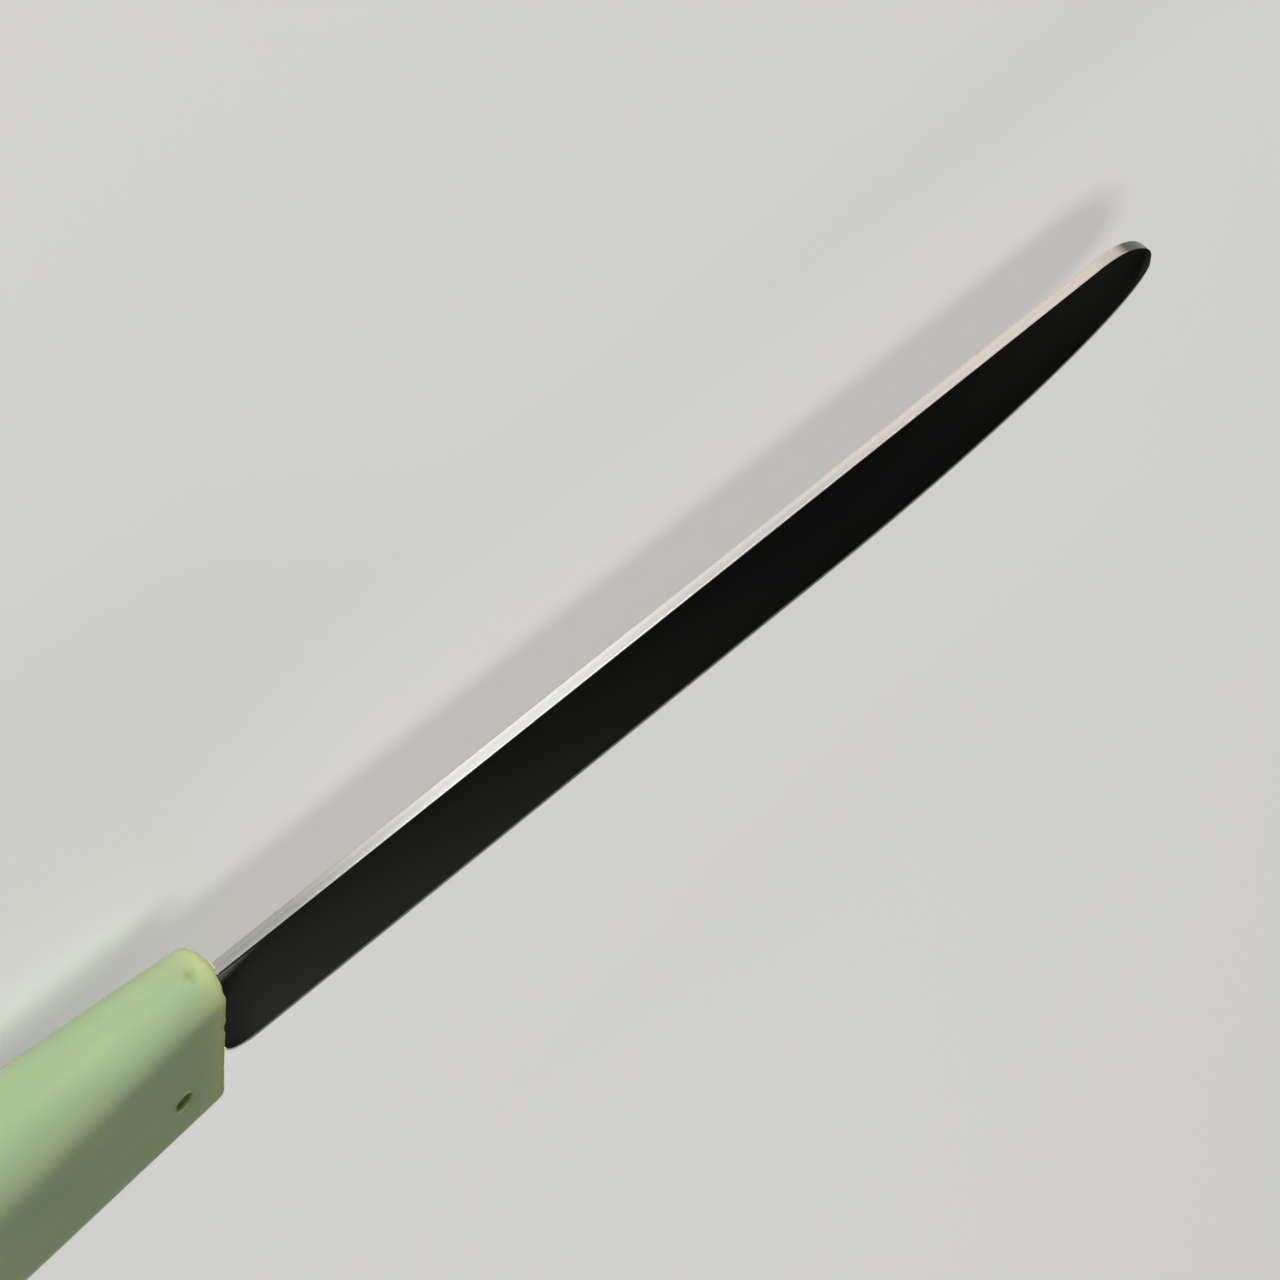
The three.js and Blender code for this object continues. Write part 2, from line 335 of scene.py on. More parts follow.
def blade_edge(s, x):
    """Depth of the edge below the spine line."""
    heel_end, belly = s.neck + s.heel, s.length - s.belly_length
    low = s.height - s.belly_rise
    if x < heel_end:
        along = clamp((heel_end - x) / s.heel)
        return s.height - s.heel_rise * (1 - math.sqrt(1 - along**2))
    if x < belly:
        return lerp(s.height, low, (x - heel_end) / (belly - heel_end))
    along = clamp((x - belly) / s.belly_length)
    return s.tip_drop + (low - s.tip_drop) * (1 - along**s.belly_power) ** (1 / s.belly_power)


# Power with which the root's facet runs out, and the blade's materials in order
ROOT_POWER = 1.5
BACK, ROOT, SIDE, EDGE = range(4)

# Strips down each side, and sections along the blade's parts
SIDE_STRIPS = 36
NECK_ROWS, HEEL_ROWS, EDGE_ROWS, BELLY_ROWS, TIP_ROWS = 8, 26, 60, 56, 56

# The last section stands just short of the tip, so that it keeps some height
TIP_TURN = math.radians(89.3)

# Keying notches along the tang, as shares of its length
NOTCHES = (0.4, 0.75)

# Only the direction of the grain counts, and its scale keeps it within the map
GRAIN_SCALE = 40


def blade_half(s, x):
    """Half a section, from the middle of the back down to the middle of the edge.

    Shares of its height and thickness keep its parts from crossing where the tip runs out.
    """
    top, low = s.spine - blade_back(s, x), s.spine - blade_edge(s, x)
    tall = top - low
    deep = s.height if x < s.neck + s.heel else tall
    ground = ease((x + s.neck_sunk) / s.grind_run)
    thinned = clamp(1 - (s.length - x) / s.tip_thinning, 0, 0.99)
    half = s.thickness / 2 * math.sqrt(1 - thinned**2)
    round_off = min(s.back_round, 0.4 * half, 0.1 * tall)
    facet = s.root_flat * (1 - clamp(x / s.root_length) ** ROOT_POWER)
    line = round_off + s.buffed_line * clamp(2 - x / s.root_length)
    flat = min(line + facet + 0.2 * round_off, 0.5 * tall)
    bevel = min(lerp(round_off, s.edge_bevel, ground), 0.3 * tall)
    thin = lerp(half, min(s.edge_thickness / 2, 0.7 * half), ground)
    blunt = lerp(half - round_off, min(s.edge_flat / 2, 0.5 * thin), ground)
    points = [(top, 0.0)]
    for turn in (0, 30, 60, 90):
        a = math.radians(turn)
        points.append((top - round_off * (1 - math.cos(a)), half - round_off * (1 - math.sin(a))))
    for y in [top - min(line, 0.9 * flat), *span(top - flat, low + bevel, SIDE_STRIPS)]:
        share = clamp((top - round_off - y) / (deep - round_off - bevel))
        swell = 4 * s.side_crown * ground * share * (1 - share) * clamp(deep / s.height)
        points.append((y, min(lerp(half, thin, share) + swell, half)))
    points += [(low, blunt), (low, 0.0)]
    return points


def blade_ring(s, x):
    """A whole section, round from the middle of the back."""
    half = blade_half(s, x)
    return [(x, y, z) for y, z in half] + [(x, y, -z) for y, z in reversed(half[1:-1])]


def tang_ring(s, x, height):
    """The neck's section drawn in to the tang's."""
    ring = blade_ring(s, -s.neck_sunk)
    high, low = max(p[1] for p in ring), min(p[1] for p in ring)
    shares = [((y - low) / (high - low) - 0.5, z) for _, y, z in ring]
    return [(x, height * share - s.tang_drop, s.tang_share * z) for share, z in shares]


def blade_strip(i):
    """Which face of the blade a strip of the section belongs to."""
    names = [BACK] * 4 + [SIDE, ROOT] + [SIDE] * SIDE_STRIPS + [EDGE] * 2
    return names[i] if i < len(names) else names[2 * len(names) - 1 - i]


class KNIFE_OT_blade(bpy.types.Operator):
    """Makes the blade with its tang"""

    bl_idname = "knife.blade"
    bl_label = "Blade"

    def execute(self, context):
        s, c = context.scene.knife_blade, context.scene.knife_cement
        heel_end, belly, tip = s.neck + s.heel, s.length - s.belly_length, s.length - s.tip_round
        places = [-s.neck_sunk, -s.neck_sunk / 2, *span(0, s.neck, NECK_ROWS)]
        places += [heel_end - s.heel * math.cos(a) for a in span(0, math.pi / 2, HEEL_ROWS)[2:]]
        places += span(heel_end, belly, EDGE_ROWS)[1:] + span(belly, tip, BELLY_ROWS)[1:]
        places += [tip + s.tip_round * math.sin(a) for a in span(0, TIP_TURN, TIP_ROWS)[1:]]
        back = -s.neck_sunk - s.tang_length
        rings = [tang_ring(s, back, s.tang_end), tang_ring(s, -s.neck_sunk, s.tang_root)]
        rings += [blade_ring(s, x) for x in places]

        def zone(r, i):
            kind = blade_strip(i)
            beyond = r >= 2 and places[r - 2] >= s.root_length
            return SIDE if kind == ROOT and beyond else kind

        count = len(rings[0])
        crisp = {1, 4, 6 + SIDE_STRIPS, 7 + SIDE_STRIPS}
        crisp |= {count - i for i in crisp}
        blade = skin("blade_dressed", rings, zone, crisp)
        cut(blade, bar("pin_hole", PIN_X - FRONT, PIN_Y, PIN_RADIUS + c.pin_fit))
        for share in NOTCHES:
            x = -s.neck_sunk - share * s.tang_length
            away = lerp(s.tang_root, s.tang_end, share) / 2 + 0.3 * s.notch
            for way in (-1, 1):
                cut(blade, bar("notch", x, way * away - s.tang_drop, s.notch))
        grain = blade.data.uv_layers.new(name="grain")
        for loop in blade.data.loops:
            co = blade.data.vertices[loop.vertex_index].co
            grain.data[loop.index].uv = ((co.y + co.z) * GRAIN_SCALE, (co.x - FRONT) * GRAIN_SCALE)
        dress(
            blade, "blade", "blade_steel",
            brushed_back(s), pressed_root(s), polished_side(s), ground_edge(s),
        )
        return {"FINISHED"}


def brushed_back(s):
    """Stainless steel brushed along its length: long fine lines, a highlight that spreads across them, and
    painted highlight and shade along the back.
    """
    material, tree, shader = start_material(
        "Stainless steel, brushed back", **{"Metallic": 1.0, "Anisotropic": 0.9}
    )
    place = add_node(tree, "ShaderNodeTexCoord").outputs["Object"]
    # Grit lines are about 0.02 mm apart; they are drawn at 0.3 mm so that they show
    lines = add_node(tree, "ShaderNodeMapping", {"Vector": place, "Scale": pattern(150, 4, 0.3)})
    fine = add_node(tree, "ShaderNodeTexNoise", {"Vector": lines.outputs[0], "Scale": 1.0, "Detail": 0.0})
    # A few deeper strokes, 0.4 mm wide and 80 mm long
    strokes = add_node(tree, "ShaderNodeMapping", {"Vector": place, "Scale": pattern(80, 4, 0.4)})
    deep = add_node(tree, "ShaderNodeTexNoise", {"Vector": strokes.outputs[0], "Scale": 1.0, "Detail": 0.0})
    streak = add_node(
        tree, "ShaderNodeMapRange",
        {"Value": deep.outputs["Fac"], "From Min": 0.3, "From Max": 0.48, "To Min": 0.16, "To Max": 0.0},
    )
    # Painted shade by the handle, at half length and round the tip, with a painted highlight from a quarter
    # to a third of the length and a warm one further on
    axes = add_node(tree, "ShaderNodeSeparateXYZ", {"Vector": place})
    along = add_node(
        tree, "ShaderNodeMapRange",
        {"Value": axes.outputs["X"], "From Min": FRONT, "From Max": FRONT + s.length},
    )
    wheel = add_node(tree, "ShaderNodeValToRGB", {"Fac": along.outputs[0]})
    stops = (
        (0.08, s.back_root_shade), (0.25, s.back_steel), (0.36, s.back_steel), (0.49, s.back_middle_shade),
        (0.61, s.back_middle_shade), (0.8, s.back_far_highlight), (0.954, s.back_far_highlight), (0.965, s.back_tip_shade_and_streaks),
    )
    while len(wheel.color_ramp.elements) < len(stops):
        wheel.color_ramp.elements.new(0.5)
    for stop, (share, steel) in zip(wheel.color_ramp.elements, stops):
        stop.position = share
        stop.color = opaque(steel)
    # Deeper strokes darken towards the colour of the painted shade round the tip
    tone = add_node(
        tree, "ShaderNodeMix",
        {"Factor": streak.outputs[0], "A": wheel.outputs["Color"], "B": opaque(s.back_tip_shade_and_streaks)},
        data_type="RGBA",
    )
    matt = add_node(
        tree, "ShaderNodeMapRange", {"Value": fine.outputs["Fac"], "To Min": 0.23, "To Max": 0.33}
    )
    groove = add_node(
        tree, "ShaderNodeBump", {"Height": fine.outputs["Fac"], "Strength": 0.02, "Distance": 0.02 * MM}
    )
    across = add_node(tree, "ShaderNodeTangent", direction_type="UV_MAP", uv_map="grain")
    tree.links.new(tone.outputs["Result"], shader.inputs["Base Color"])
    tree.links.new(matt.outputs[0], shader.inputs["Roughness"])
    tree.links.new(groove.outputs[0], shader.inputs["Normal"])
    tree.links.new(across.outputs[0], shader.inputs["Tangent"])
    return material


def polished_side(s):
    """Stainless steel buffed to a mirror: shows what it faces, with hairlines and duller patches."""
    material, tree, shader = start_material(
        "Stainless steel, mirror-buffed side", **{"Metallic": 1.0, "Base Color": opaque(s.steel)}
    )
    place = add_node(tree, "ShaderNodeTexCoord").outputs["Object"]
    # Finger marks and table wear, about 9 mm across
    patches = add_node(tree, "ShaderNodeTexNoise", {"Vector": place, "Scale": 1 / (9 * MM), "Detail": 4.0})
    # Buffing hairlines are finer than 0.01 mm; they are drawn at 0.15 mm so that they show
    lines = add_node(tree, "ShaderNodeMapping", {"Vector": place, "Scale": pattern(30, 0.15, 2)})
    hair = add_node(tree, "ShaderNodeTexNoise", {"Vector": lines.outputs[0], "Scale": 1.0, "Detail": 3.0})
    sheen = add_node(
        tree, "ShaderNodeMapRange",
        {"Value": patches.outputs["Fac"], "From Min": 0.35, "From Max": 0.75, "To Min": 0.05, "To Max": 0.13},
    )
    scratch = add_node(
        tree, "ShaderNodeMapRange",
        {"Value": hair.outputs["Fac"], "From Min": 0.62, "From Max": 0.8, "To Min": 0.0, "To Max": 0.1},
    )
    matt = add_node(tree, "ShaderNodeMath", {0: sheen.outputs[0], 1: scratch.outputs[0]}, operation="ADD")
    groove = add_node(
        tree, "ShaderNodeBump", {"Height": hair.outputs["Fac"], "Strength": 0.05, "Distance": 0.01 * MM}
    )
    tree.links.new(matt.outputs[0], shader.inputs["Roughness"])
    tree.links.new(groove.outputs[0], shader.inputs["Normal"])
    return material


def pressed_root(s):
    """Stainless steel as it left the press: a dull grey skin that the wheel has only just caught."""
    material, tree, shader = start_material("Stainless steel, pressed root", **{"Metallic": 1.0})
    place = add_node(tree, "ShaderNodeTexCoord").outputs["Object"]
    # Rolled grain, about 0.3 mm
    skin_grain = add_node(
        tree, "ShaderNodeTexNoise", {"Vector": place, "Scale": 1 / (0.3 * MM), "Detail": 3.0}
    )
    darker = opaque([0.8 * part for part in s.root_steel])
    tone = add_node(
        tree, "ShaderNodeMix",
        {"Factor": skin_grain.outputs["Fac"], "A": darker, "B": opaque(s.root_steel)},
        data_type="RGBA",
    )
    rough = add_node(
        tree, "ShaderNodeMapRange", {"Value": skin_grain.outputs["Fac"], "To Min": 0.38, "To Max": 0.54}
    )
    # The buff has caught the lower part of the facet, so that it runs softly into the polished side
    axes = add_node(tree, "ShaderNodeSeparateXYZ", {"Vector": place})
    gone = add_node(
        tree, "ShaderNodeMapRange",
        {"Value": axes.outputs["X"], "From Min": FRONT, "From Max": FRONT + s.root_length},
    )
    run_out = add_node(tree, "ShaderNodeMath", {0: gone.outputs[0], 1: ROOT_POWER}, operation="POWER")
    # Height of the facet's lower border, and how far above it a point lies
    border = add_node(
        tree, "ShaderNodeMath",
        {0: run_out.outputs[0], 1: s.root_flat, 2: s.spine - s.back_round - s.buffed_line - s.root_flat},
        operation="MULTIPLY_ADD",
    )
    above = add_node(
        tree, "ShaderNodeMath", {0: axes.outputs["Y"], 1: border.outputs[0]}, operation="SUBTRACT"
    )
    buffed = add_node(
        tree, "ShaderNodeMapRange",
        {
            "Value": above.outputs[0],
            "From Min": -0.2 * MM, "From Max": 1.9 * MM, "To Min": 1.0, "To Max": 0.0,
        },
    )
    matt = add_node(
        tree, "ShaderNodeMix",
        {"Factor": buffed.outputs[0], "A": rough.outputs[0], "B": 0.12},
        data_type="FLOAT",
    )
    tree.links.new(tone.outputs["Result"], shader.inputs["Base Color"])
    tree.links.new(matt.outputs["Result"], shader.inputs["Roughness"])
    return material


def ground_edge(s):
    """Stainless steel ground across the edge: short close lines from the wheel."""
    material, tree, shader = start_material(
        "Stainless steel, ground edge", **{"Metallic": 1.0, "Base Color": opaque(s.steel)}
    )
    place = add_node(tree, "ShaderNodeTexCoord").outputs["Object"]
    # Wheel lines across the edge, 0.1 mm apart
    lines = add_node(tree, "ShaderNodeMapping", {"Vector": place, "Scale": pattern(0.1, 2, 2)})
    wheel = add_node(tree, "ShaderNodeTexNoise", {"Vector": lines.outputs[0], "Scale": 1.0, "Detail": 2.0})
    matt = add_node(
        tree, "ShaderNodeMapRange", {"Value": wheel.outputs["Fac"], "To Min": 0.14, "To Max": 0.36}
    )
    tree.links.new(matt.outputs[0], shader.inputs["Roughness"])
    return material


def flare(s, distance):
    """Length over which the handle has swollen at a distance behind its front."""
    eased = clamp(distance - s.flare_straight, 0, s.flare_ease)
    return min(distance, s.flare_straight) + eased - eased**2 / (2 * s.flare_ease)


# Strips round each corner and down each side, and rings along the handle's parts
CORNER_STRIPS, SIDE_ROWS = 26, 34
BUTT_ROWS, LEVEL_ROWS, FLARE_ROWS, NEAR_ROWS, RIM_ROWS, FACE_ROWS = 30, 16, 42, 36, 12, 6

# Rings lie closer from here to the front, where the wear is
NEAR = 8 * MM

# Dents behind the front rim: place and radius in millimetres, and depth to that of the deepest
DENTS = ((-2.35, 10.8, 0.5, 0.3, 1.0), (-2.2, 10.6, 1.05, 0.22, 0.7))


def handle_ring(s, distance, from_side, from_top):
    """One oblong ring of the handle, drawn in from its sides and from its top and bottom."""
    full = s.front_thickness / 2 + s.side_flare * flare(s, distance)
    thick = full - from_side
    tall = s.front_height / 2 + s.top_flare * flare(s, distance) - from_top
    wide = s.corner * thick
    high = min(s.stretch * wide, 0.9 * tall)
    crown = s.crown * (1 - ease(distance / s.flare_straight))
    outline = []
    for quarter, up, side in ((0, 1, 1), (1, -1, 1), (2, -1, -1), (3, 1, -1)):
        for share in span(0, 1, CORNER_STRIPS):
            a = (quarter + share) * math.pi / 2
            y, z = up * (tall - high) + high * math.cos(a), side * (thick - wide) + wide * math.sin(a)
            outline.append((y, z))
        if quarter in (0, 2):
            reach = up * (tall - high)
            outline += [(y, side * thick) for y in span(reach, -reach, SIDE_ROWS)[1:-1]]
    return [(-distance - crown * (z / full) ** 2, y, z) for y, z in outline]


def handle_wear(s, co):
    """How far use has taken a point of the handle's skin inwards."""
    x, y, z = co.x - FRONT, co.y, co.z - MIDDLE
    # Hand polishing leaves long shallow waves
    wave = 0.5 + 0.5 * noise.noise(Vector((x / (18 * MM), y / (11 * MM), z / (9 * MM))))
    taken = 0.025 * MM * wave
    # Knocks wear the front rim over about a millimetre, with waves, fine nicks and a few chips
    near_rim = math.exp(-((x / (0.75 * MM)) ** 2))
    if near_rim > 0.01:
        rough = 0.5 + 0.5 * noise.noise(Vector((y, z, 4 * MM)) / (2.3 * MM))
        fine = 0.5 + 0.5 * noise.noise(Vector((y, z, 11 * MM)) / (1.1 * MM))
        chip = clamp(3.0 * noise.noise(Vector((y, z, 20 * MM)) / (1.6 * MM)) - 0.6)
        taken += near_rim * s.nick * (0.25 * rough + 0.4 * fine + 0.35 * chip)
    # The top is round there, so height hardly counts in how far a dent reaches
    for dent_x, dent_y, dent_z, radius, share in DENTS:
        away = Vector((x - dent_x * MM, (y - dent_y * MM) * 0.3, z - dent_z * MM))
        taken += share * s.dent * math.exp(-((away.length / (radius * MM)) ** 2))
    return taken


class KNIFE_OT_handle(bpy.types.Operator):
    """Makes the handle with its socket and pin hole"""

    bl_idname = "knife.handle"
    bl_label = "Handle"

    def execute(self, context):
        s, b, c = context.scene.knife_handle, context.scene.knife_blade, context.scene.knife_cement
        level, end = s.length - s.butt_length, s.flare_straight + s.flare_ease
        butt_side = s.butt_side * (s.front_thickness / 2 + s.side_flare * flare(s, end))
        rings = []
        for a in span(0, math.pi / 2, BUTT_ROWS):
            drawn = 1 - math.sin(a)
            place = level + s.butt_length * math.cos(a)
            rings.append(handle_ring(s, place, butt_side * drawn, s.butt_top * drawn))
        places = span(level, end, LEVEL_ROWS)[1:] + span(end, NEAR, FLARE_ROWS)[1:]
        places += span(NEAR, s.rim, NEAR_ROWS)[1:-1]
        rings += [handle_ring(s, place, 0, 0) for place in places]
        for a in span(0, math.pi / 2, RIM_ROWS):
            drawn = s.rim * (1 - math.cos(a))
            rings.append(handle_ring(s, s.rim * (1 - math.sin(a)), drawn, drawn))
        face = span(s.rim, 0.4 * s.front_thickness, FACE_ROWS)[1:]
        rings += [handle_ring(s, 0, drawn, drawn) for drawn in face]
        handle = skin("handle_dressed", rings)
        wear = [(v, v.normal.copy(), handle_wear(s, v.co)) for v in handle.data.vertices]
        for vertex, out, taken in wear:
            vertex.co -= out * taken
        neck = b.height - b.heel_rise
        wide = b.thickness / 2 + c.side
        low = (-b.neck_sunk - c.edge, b.spine - neck - c.edge, -wide)
        cut(handle, block("mouth", low, (REACH, b.spine + c.edge, wide)))
        back, root = -b.neck_sunk - b.tang_length - c.end, b.tang_root / 2 + c.edge
        low, high = (back, -b.tang_drop - root, -wide), (-b.neck_sunk, root - b.tang_drop, wide)
        cut(handle, block("socket", low, high, b.tang_end + 2 * c.edge))
        cut(handle, bar("pin_hole", PIN_X - FRONT, PIN_Y, PIN_RADIUS + c.pin_fit))
        handle.data.polygons.foreach_set("use_smooth", [True] * len(handle.data.polygons))
        handle.data.set_sharp_from_angle(angle=math.radians(38))
        dress(handle, "handle", "handle_plastic", green_plastic(s))
        return {"FINISHED"}


def green_plastic(s):
    """Cast and polished plastic: satin, lets a little light in, clouded, paler and yellower at the blade end,
    with painted olive shade round the front rim.
    """
    material, tree, shader = start_material(
        "Cast plastic, polished pale green",
        **{
            "IOR": 1.53,
            "Subsurface Weight": 1.0,
            "Subsurface Radius": (1.1, 0.9, 0.2),
            "Subsurface Scale": 3 * MM,
        },
    )
    place = add_node(tree, "ShaderNodeTexCoord").outputs["Object"]
    # Clouds in the casting, about 14 mm long and 6 mm across
    drawn = add_node(tree, "ShaderNodeMapping", {"Vector": place, "Scale": pattern(14, 6, 6)})
    clouds = add_node(
        tree, "ShaderNodeTexNoise",
        {"Vector": drawn.outputs[0], "Scale": 1.0, "Detail": 4.0, "Roughness": 0.45},
    )
    share = add_node(
        tree, "ShaderNodeMapRange", {"Value": clouds.outputs["Fac"], "From Min": 0.35, "From Max": 0.65}
    )
    green = add_node(
        tree, "ShaderNodeMix",
        {"Factor": share.outputs[0], "A": opaque(s.plastic), "B": opaque(s.cloud)},
        data_type="RGBA",
    )
    # A paler, yellower tone fades over about 4 mm behind the front face, with an uneven border
    axes = add_node(tree, "ShaderNodeSeparateXYZ", {"Vector": place})
    ragged = add_node(
        tree, "ShaderNodeMath",
        {0: clouds.outputs["Fac"], 1: 6 * MM, 2: axes.outputs["X"]},
        operation="MULTIPLY_ADD",
    )
    yellower_share = add_node(
        tree, "ShaderNodeMapRange",
        {
            "Value": ragged.outputs[0],
            "From Min": FRONT - 2 * MM, "From Max": FRONT + 3.5 * MM, "To Max": 0.95,
        },
        interpolation_type="SMOOTHSTEP",
    )
    yellower_front = add_node(
        tree, "ShaderNodeMix",
        {"Factor": yellower_share.outputs[0], "A": green.outputs["Result"], "B": opaque(s.yellower_front)},
        data_type="RGBA",
    )
    # Grey smudge round the dent on top, and fine specks of dirt 0.2 mm across
    away = add_node(
        tree, "ShaderNodeVectorMath",
        {0: place, 1: (FRONT - 2.7 * MM, 10.8 * MM, MIDDLE + 0.7 * MM)},
        operation="DISTANCE",
    )
    blot = add_node(tree, "ShaderNodeTexNoise", {"Vector": place, "Scale": 1 / (0.8 * MM), "Detail": 2.0})
    torn = add_node(
        tree, "ShaderNodeMath",
        {0: blot.outputs["Fac"], 1: 1.8 * MM, 2: away.outputs["Value"]},
        operation="MULTIPLY_ADD",
    )
    smudge = add_node(
        tree, "ShaderNodeMapRange",
        {"Value": torn.outputs[0], "From Min": 0.8 * MM, "From Max": 1.9 * MM, "To Min": 0.45, "To Max": 0.0},
    )
    specks = add_node(tree, "ShaderNodeTexNoise", {"Vector": place, "Scale": 1 / (0.4 * MM), "Detail": 2.0})
    dirt = add_node(
        tree, "ShaderNodeMapRange",
        {"Value": specks.outputs["Fac"], "From Min": 0.7, "From Max": 0.78, "To Max": 0.25},
    )
    # Painted shade in the pin's hole and in a thin ring round its mouth
    level = add_node(tree, "ShaderNodeVectorMath", {0: place, 1: (1.0, 1.0, 0.0)}, operation="MULTIPLY")
    across = add_node(
        tree, "ShaderNodeVectorMath", {0: level.outputs[0], 1: (PIN_X, PIN_Y, 0.0)}, operation="DISTANCE"
    )
    hole = add_node(
        tree, "ShaderNodeMapRange",
        {
            "Value": across.outputs["Value"],
            "From Min": 1.14 * MM, "From Max": 1.4 * MM, "To Min": 0.35, "To Max": 0.0,
        },
        interpolation_type="SMOOTHSTEP",
    )
    dirt_and_hole_shade = add_node(
        tree, "ShaderNodeMath", {0: smudge.outputs[0], 1: dirt.outputs[0]}, operation="MAXIMUM"
    )
    dirt_and_hole_shade = add_node(
        tree, "ShaderNodeMath", {0: dirt_and_hole_shade.outputs[0], 1: hole.outputs[0]}, operation="MAXIMUM"
    )
    # Painted olive shade on the bowed front face and its rim, with an uneven border
    aside = add_node(tree, "ShaderNodeMath", {0: axes.outputs["Z"], 1: MIDDLE}, operation="SUBTRACT")
    bow = add_node(tree, "ShaderNodeMath", {0: aside.outputs[0], 1: 2.0}, operation="POWER")
    forward = add_node(
        tree, "ShaderNodeMath",
        {0: bow.outputs[0], 1: 4 * s.crown / s.front_thickness**2, 2: axes.outputs["X"]},
        operation="MULTIPLY_ADD",
    )
    rim_shade_reach = add_node(
        tree, "ShaderNodeMath",
        {0: blot.outputs["Fac"], 1: 0.6 * MM, 2: forward.outputs[0]},
        operation="MULTIPLY_ADD",
    )
    rim = add_node(
        tree, "ShaderNodeMapRange",
        {"Value": rim_shade_reach.outputs[0], "From Min": FRONT - 0.9 * MM, "From Max": FRONT + 0.2 * MM, "To Max": 0.6},
        interpolation_type="SMOOTHSTEP",
    )
    rim_shade = add_node(
        tree, "ShaderNodeMix",
        {"Factor": rim.outputs[0], "A": yellower_front.outputs["Result"], "B": opaque(s.rim_shade)},
        data_type="RGBA",
    )
    # The grime colour goes over the smudge, the specks of dirt and the painted shade in the pin's hole
    final = add_node(
        tree, "ShaderNodeMix",
        {"Factor": dirt_and_hole_shade.outputs[0], "A": rim_shade.outputs["Result"], "B": opaque(s.grime_and_hole_shade)},
        data_type="RGBA",
    )
    # Wiping scratches along the handle are finer than 0.05 mm; they are drawn at 0.3 mm so that they show
    strokes = add_node(tree, "ShaderNodeMapping", {"Vector": place, "Scale": pattern(16, 0.3, 0.3)})
    wiped = add_node(tree, "ShaderNodeTexNoise", {"Vector": strokes.outputs[0], "Scale": 1.0, "Detail": 3.0})
    matt = add_node(
        tree, "ShaderNodeMapRange",
        {"Value": wiped.outputs["Fac"], "From Min": 0.3, "From Max": 0.7, "To Min": 0.42, "To Max": 0.58},
    )
    relief = add_node(
        tree, "ShaderNodeBump", {"Height": wiped.outputs["Fac"], "Strength": 0.12, "Distance": 0.03 * MM}
    )
    tree.links.new(final.outputs["Result"], shader.inputs["Base Color"])
    tree.links.new(matt.outputs[0], shader.inputs["Roughness"])
    tree.links.new(relief.outputs[0], shader.inputs["Normal"])
    return material


# Smear of crumbs by the back, drawn from the mouth up to the rim: height above the back and width, in mm
SMEAR_LOW, SMEAR_HIGH = (0.5, 0.2), (2.95, 1.34)
CRUMBS, CRUMB_SEED = 110, 11


class KNIFE_OT_cement(bpy.types.Operator):
    """Makes the cement that fills the handle's mouth, with crumbs by the back"""

    bl_idname = "knife.cement"
    bl_label = "Cement"

    def execute(self, context):
        b, c = context.scene.knife_blade, context.scene.knife_cement
        neck, gap = b.height - b.heel_rise, c.gap
        wide = b.thickness / 2 + c.side - gap
        top, low = b.spine + c.edge - gap, b.spine - neck - c.edge + gap
        back, rear = -b.neck_sunk - c.edge + gap, -b.neck_sunk - b.tang_length - c.end + gap
        rings = []
        for share in span(0, 1, 8):
            # It shrinks a little towards its front, which is uneven
            shrunk = wide * (1 - 0.12 * ease(share * 2 - 1))
            ring = []
            for y, z in box_outline(low, top, shrunk):
                bump = 0.12 * MM * noise.noise(Vector((y, z, share * MM)) / (0.7 * MM)) * (share == 1)
                ring.append((lerp(back, -c.sunk, share) + bump, y, z))
            rings.append(ring)
        cement = skin("cement_dressed", rings)
        grown = b.thickness / 2 + gap
        cut(cement, block("neck", (-REACH, b.spine - neck - gap, -grown), (REACH, b.spine + gap, grown)))
        root, front = b.tang_root / 2 + c.edge - gap, b.tang_root / 2 + gap
        bed_low, bed_high = (rear, -b.tang_drop - root, -wide), (back, root - b.tang_drop, wide)
        bed = block("bed", bed_low, bed_high, b.tang_end + 2 * (c.edge - gap))
        tang_low = (rear + c.end_fill, -b.tang_drop - front, -grown)
        tang_high = (REACH, front - b.tang_drop, grown)
        cut(bed, block("tang", tang_low, tang_high, b.tang_end + 2 * gap))
        shell = bmesh.new()
        shell.from_mesh(cement.data)
        shell.from_mesh(bed.data)
        bpy.data.objects.remove(bed)
        pick = random.Random(CRUMB_SEED)
        for _ in range(CRUMBS):
            # Up at the rim the smear fans out and thins
            up, fan = pick.random() ** 0.6, pick.uniform(-0.5, 0.5)
            size = c.crumb * pick.uniform(0.35, 1.0) ** 1.5 * lerp(1.0, 0.4, fan + 0.5)
            y = b.spine + lerp(SMEAR_LOW[0], SMEAR_HIGH[0], up) * MM - 0.52 * MM * fan * up
            z = lerp(SMEAR_LOW[1], SMEAR_HIGH[1], up) * MM + 1.2 * MM * fan * up
            x = lerp(-0.1, -0.24, ease(2 * up)) * MM + pick.gauss(0, 0.05) * MM
            middle = Vector((FRONT + x, y, MIDDLE + z))
            crumb = bmesh.ops.create_icosphere(
                shell, subdivisions=3, radius=size, matrix=Matrix.Translation(middle)
            )
            for vert in crumb["verts"]:
                out = vert.co - middle
                vert.co = middle + out * (0.8 + 0.45 * noise.noise(vert.co / (0.9 * size)))
        for face in shell.faces:
            face.smooth = True
        shell.to_mesh(cement.data)
        shell.free()
        cement.data.set_sharp_from_angle(angle=math.radians(50))
        dress(cement, "tang_cement", "cement", set_cement(c))
        return {"FINISHED"}


def box_outline(low, high, wide, rows=60, end_rows=12):
    """Outline of a tall box, round from its top, with close points along its sides."""
    outline = [(y, wide) for y in span(high, low, rows)]
    outline += [(low, z) for z in span(wide, -wide, end_rows)[1:-1]]
    outline += [(y, -wide) for y in span(low, high, rows)]
    outline += [(high, z) for z in span(-wide, wide, end_rows)[1:-1]]
    return outline


